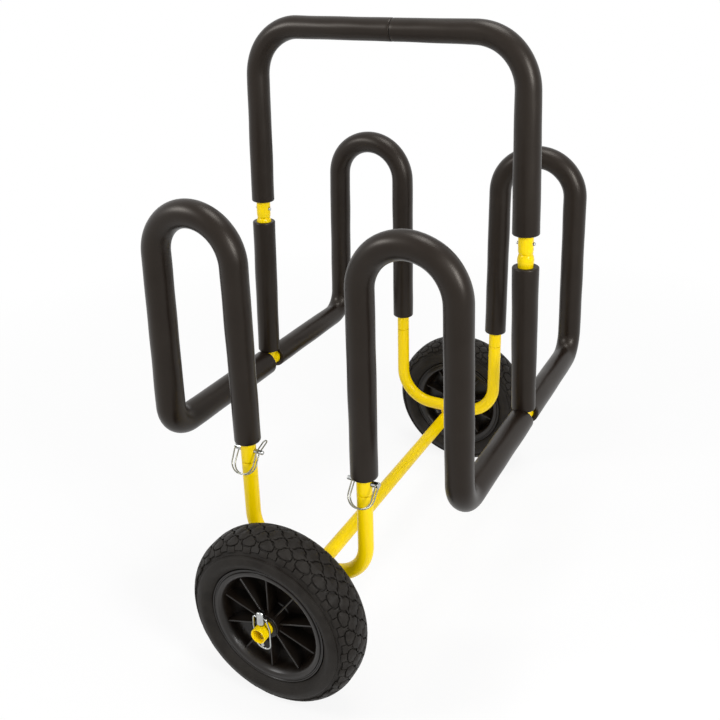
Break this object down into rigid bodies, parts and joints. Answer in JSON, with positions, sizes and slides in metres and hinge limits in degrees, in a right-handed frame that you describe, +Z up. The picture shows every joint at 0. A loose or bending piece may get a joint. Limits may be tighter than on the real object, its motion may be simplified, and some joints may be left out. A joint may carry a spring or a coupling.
{
  "type": "double paddleboard cart",
  "caption": "Two-wheeled hand cart of yellow round tube in black foam sleeves, with over-arm cradles and a tall middle hoop that hold paddleboards on edge.",
  "frame": {"origin": "on the ground under the middle of the cart, midway between the wheels and between the cradles", "axes": "+Z up; X is the way the cart rolls and the way the boards lie; Y runs along the axle, with the pinned near side at -Y"},
  "size_m": [0.5014, 0.786, 0.9042],
  "materials": {
    "powder_coat": "glossy yellow powder coat",
    "foam": "closed-cell foam with a soft matt skin",
    "tyre": "matt solid-foam tyre with a block tread",
    "rim_plastic": "moulded black plastic",
    "bush_nylon": "smooth black nylon",
    "zinc": "bright zinc plate",
    "spring_steel": "oiled spring steel"
  },
  "bodies": {
    "frame": {"axle_tube": "powder_coat", "axle_stop_collar_near": "powder_coat", "axle_stop_collar_far": "powder_coat", "axle_pin_near": "zinc", "axle_pin_far": "zinc", "u_bracket_near": "powder_coat", "u_bracket_far": "powder_coat", "leg_sleeve_near_left": "powder_coat", "leg_sleeve_near_right": "powder_coat", "leg_sleeve_far_left": "powder_coat", "leg_sleeve_far_right": "powder_coat", "cradle_tube_left": "powder_coat", "cradle_tube_right": "powder_coat", "cradle_foam_left_near": "foam", "cradle_foam_left_far": "foam", "cradle_foam_right_near": "foam", "cradle_foam_right_far": "foam", "upright_stub_left": "powder_coat", "upright_stub_right": "powder_coat", "stub_foam_left": "foam", "stub_foam_right": "foam", "hoop_tube": "powder_coat", "hoop_foam_left": "foam", "hoop_foam_right": "foam", "button_clip_left": "spring_steel", "button_clip_right": "spring_steel"},
    "wheel_near": {"tyre_near": "tyre", "rim_near": "rim_plastic", "hub_bush_near_outer": "bush_nylon", "hub_bush_near_inner": "bush_nylon"},
    "wheel_far": {"tyre_far": "tyre", "rim_far": "rim_plastic", "hub_bush_far_outer": "bush_nylon", "hub_bush_far_inner": "bush_nylon"},
    "axle_ring_near": {"axle_pin_ring_near": "zinc"},
    "axle_ring_far": {"axle_pin_ring_far": "zinc"},
    "leg_pin_left": {"lock_pin_left": "zinc"},
    "leg_pin_right": {"lock_pin_right": "zinc"},
    "leg_bail_left": {"lock_pin_bail_left": "zinc"},
    "leg_bail_right": {"lock_pin_bail_right": "zinc"},
    "button_left_outer": {"spring_button_left_outer": "zinc"},
    "button_left_inner": {"spring_button_left_inner": "zinc"},
    "button_right_outer": {"spring_button_right_outer": "zinc"},
    "button_right_inner": {"spring_button_right_inner": "zinc"}
  },
  "joints": [
    {"name": "wheel_near_spin", "type": "hinge", "parent": "frame", "child": "wheel_near", "pos_m": [0, -0.342, 0.132], "axis": [0, 1, 0], "continuous": true},
    {"name": "wheel_far_spin", "type": "hinge", "parent": "frame", "child": "wheel_far", "pos_m": [0, 0.342, 0.132], "axis": [0, 1, 0], "continuous": true},
    {"name": "axle_ring_near_swing", "type": "hinge", "parent": "frame", "child": "axle_ring_near", "pos_m": [0, -0.383, 0.1554], "axis": [-1, 0, 0], "range_deg": [0, 150]},
    {"name": "axle_ring_far_swing", "type": "hinge", "parent": "frame", "child": "axle_ring_far", "pos_m": [0, 0.383, 0.1554], "axis": [1, 0, 0], "range_deg": [0, 150]},
    {"name": "leg_pin_left_turn", "type": "hinge", "parent": "frame", "child": "leg_pin_left", "pos_m": [-0.0945, -0.258, 0.321], "axis": [-1, 0, 0], "range_deg": [0, 75]},
    {"name": "leg_pin_right_turn", "type": "hinge", "parent": "frame", "child": "leg_pin_right", "pos_m": [0.0945, -0.258, 0.321], "axis": [-1, 0, 0], "range_deg": [0, 75]},
    {"name": "leg_bail_left_open", "type": "hinge", "parent": "leg_pin_left", "child": "leg_bail_left", "pos_m": [-0.114, -0.258, 0.321], "axis": [0, 0.8259, -0.5638], "range_deg": [0, 100]},
    {"name": "leg_bail_right_open", "type": "hinge", "parent": "leg_pin_right", "child": "leg_bail_right", "pos_m": [0.114, -0.258, 0.321], "axis": [0, -0.8259, 0.5638], "range_deg": [0, 100]},
    {"name": "button_left_outer_press", "type": "slide", "parent": "frame", "child": "button_left_outer", "axis": [0.9995, 0, -0.031], "range_m": [0, 0.0049], "stiffness_N_per_m": 900, "springref_m": -0.002, "deforming": ["button_clip_left"]},
    {"name": "button_left_inner_press", "type": "slide", "parent": "frame", "child": "button_left_inner", "axis": [-0.9995, 0, 0.031], "range_m": [0, 0.0049], "stiffness_N_per_m": 900, "springref_m": -0.002, "deforming": ["button_clip_left"]},
    {"name": "button_right_outer_press", "type": "slide", "parent": "frame", "child": "button_right_outer", "axis": [-0.9995, 0, -0.031], "range_m": [0, 0.0049], "stiffness_N_per_m": 900, "springref_m": -0.002, "deforming": ["button_clip_right"]},
    {"name": "button_right_inner_press", "type": "slide", "parent": "frame", "child": "button_right_inner", "axis": [0.9995, 0, 0.031], "range_m": [0, 0.0049], "stiffness_N_per_m": 900, "springref_m": -0.002, "deforming": ["button_clip_right"]}
  ]
}
